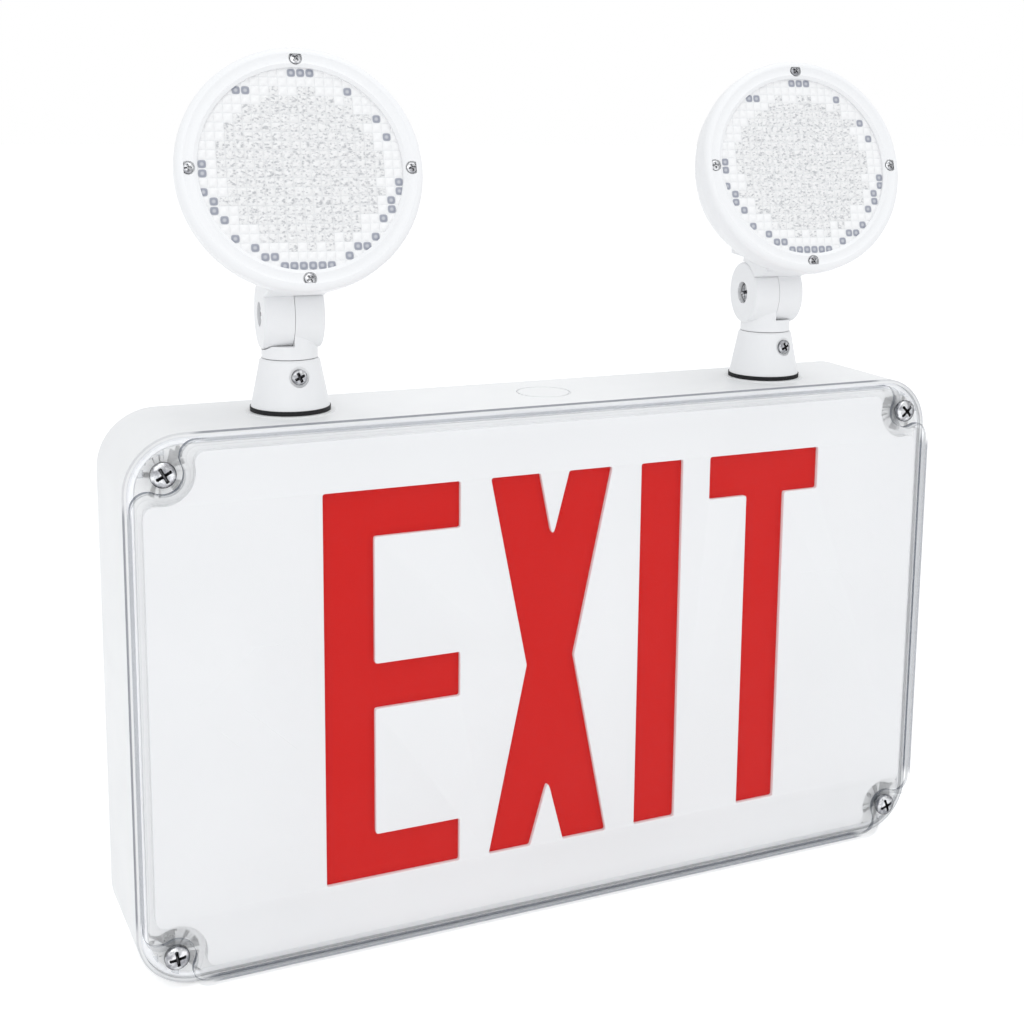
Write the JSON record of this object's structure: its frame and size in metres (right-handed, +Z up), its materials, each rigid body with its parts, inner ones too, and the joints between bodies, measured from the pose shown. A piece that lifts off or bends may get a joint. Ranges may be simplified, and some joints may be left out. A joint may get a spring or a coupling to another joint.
{
  "type": "exit sign with emergency lamp heads",
  "caption": "Wall exit sign in a white sealed housing with a clear screwed cover, lit red letters and emergency lamp heads that turn and tilt on top.",
  "frame": {"origin": "centre of the four wall fixing holes, in the plane of the housing's back face", "axes": "+Z up, -Y out of the face that carries the letters, +X to the right of a person who reads them"},
  "size_m": [0.3436, 0.0698, 0.3397],
  "materials": {
    "housing_white": "fine satin",
    "gasket_white": "soft matt",
    "cover_clear": "clear polished",
    "screw_steel": "bright zinc",
    "panel_white": "satin",
    "diffuser_red": "even satin",
    "reflector_white": "matt",
    "board_white": "solder resist",
    "sleeve_green": "shrink sleeve",
    "strap_steel": "zinc plated",
    "board_green": "solder resist",
    "core_steel": "varnished",
    "clamp_grey": "moulded",
    "switch_black": "moulded",
    "pilot_red": "clear red",
    "button_white": "satin",
    "gasket_black": "matt",
    "head_white": "satin",
    "bezel_white": "satin",
    "nut_steel": "zinc plated",
    "lens_clear": "clear, prism pattern",
    "bowl_chrome": "bright plated"
  },
  "bodies": {
    "sign_body": {"back_housing": "housing_white", "housing_gasket": "gasket_white", "clear_cover": "cover_clear", "cover_screws": "screw_steel", "face_panel": "panel_white", "red_diffuser": "diffuser_red", "light_box": "reflector_white", "upper_led_strip": "board_white", "lower_led_strip": "board_white", "battery_pack": "sleeve_green", "battery_strap": "strap_steel", "charger_board": "board_green", "transformer": "core_steel", "terminal_block": "clamp_grey", "test_switch": "switch_black", "status_lamp": "pilot_red", "left_base_gasket": "gasket_black", "left_base_cone": "head_white", "left_set_screw": "screw_steel", "left_lock_nut": "nut_steel", "right_base_gasket": "gasket_black", "right_base_cone": "head_white", "right_set_screw": "screw_steel", "right_lock_nut": "nut_steel"},
    "test_button_body": {"test_button": "button_white"},
    "left_neck_body": {"left_neck": "head_white"},
    "left_lamp_head": {"left_pivot_screw": "screw_steel", "left_pivot_nut": "nut_steel", "left_lamp_shell": "head_white", "left_lamp_bezel": "bezel_white", "left_lamp_lens": "lens_clear", "left_lens_gasket": "gasket_white", "left_reflector": "bowl_chrome", "left_lamp_board": "board_white", "left_bezel_screws": "screw_steel"},
    "right_neck_body": {"right_neck": "head_white"},
    "right_lamp_head": {"right_pivot_screw": "screw_steel", "right_pivot_nut": "nut_steel", "right_lamp_shell": "head_white", "right_lamp_bezel": "bezel_white", "right_lamp_lens": "lens_clear", "right_lens_gasket": "gasket_white", "right_reflector": "bowl_chrome", "right_lamp_board": "board_white", "right_bezel_screws": "screw_steel"}
  },
  "joints": [
    {"name": "left_pan", "type": "hinge", "parent": "sign_body", "child": "left_neck_body", "pos_m": [-0.1042, -0.024, 0.1237], "axis": [0, 0, 1], "range_deg": [-90, 90]},
    {"name": "left_tilt", "type": "hinge", "parent": "left_neck_body", "child": "left_lamp_head", "pos_m": [-0.1042, -0.024, 0.14], "axis": [0.9954, -0.0958, 0], "range_deg": [-60, 55]},
    {"name": "right_pan", "type": "hinge", "parent": "sign_body", "child": "right_neck_body", "pos_m": [0.1042, -0.024, 0.1237], "axis": [0, 0, 1], "range_deg": [-90, 90]},
    {"name": "right_tilt", "type": "hinge", "parent": "right_neck_body", "child": "right_lamp_head", "pos_m": [0.1042, -0.024, 0.14], "axis": [0.9928, -0.1201, 0], "range_deg": [-60, 55]},
    {"name": "test_button_press", "type": "slide", "parent": "sign_body", "child": "test_button_body", "axis": [0, 0, 1], "range_m": [0, 0.0015], "stiffness_N_per_m": 600, "springref_m": -0.001}
  ]
}
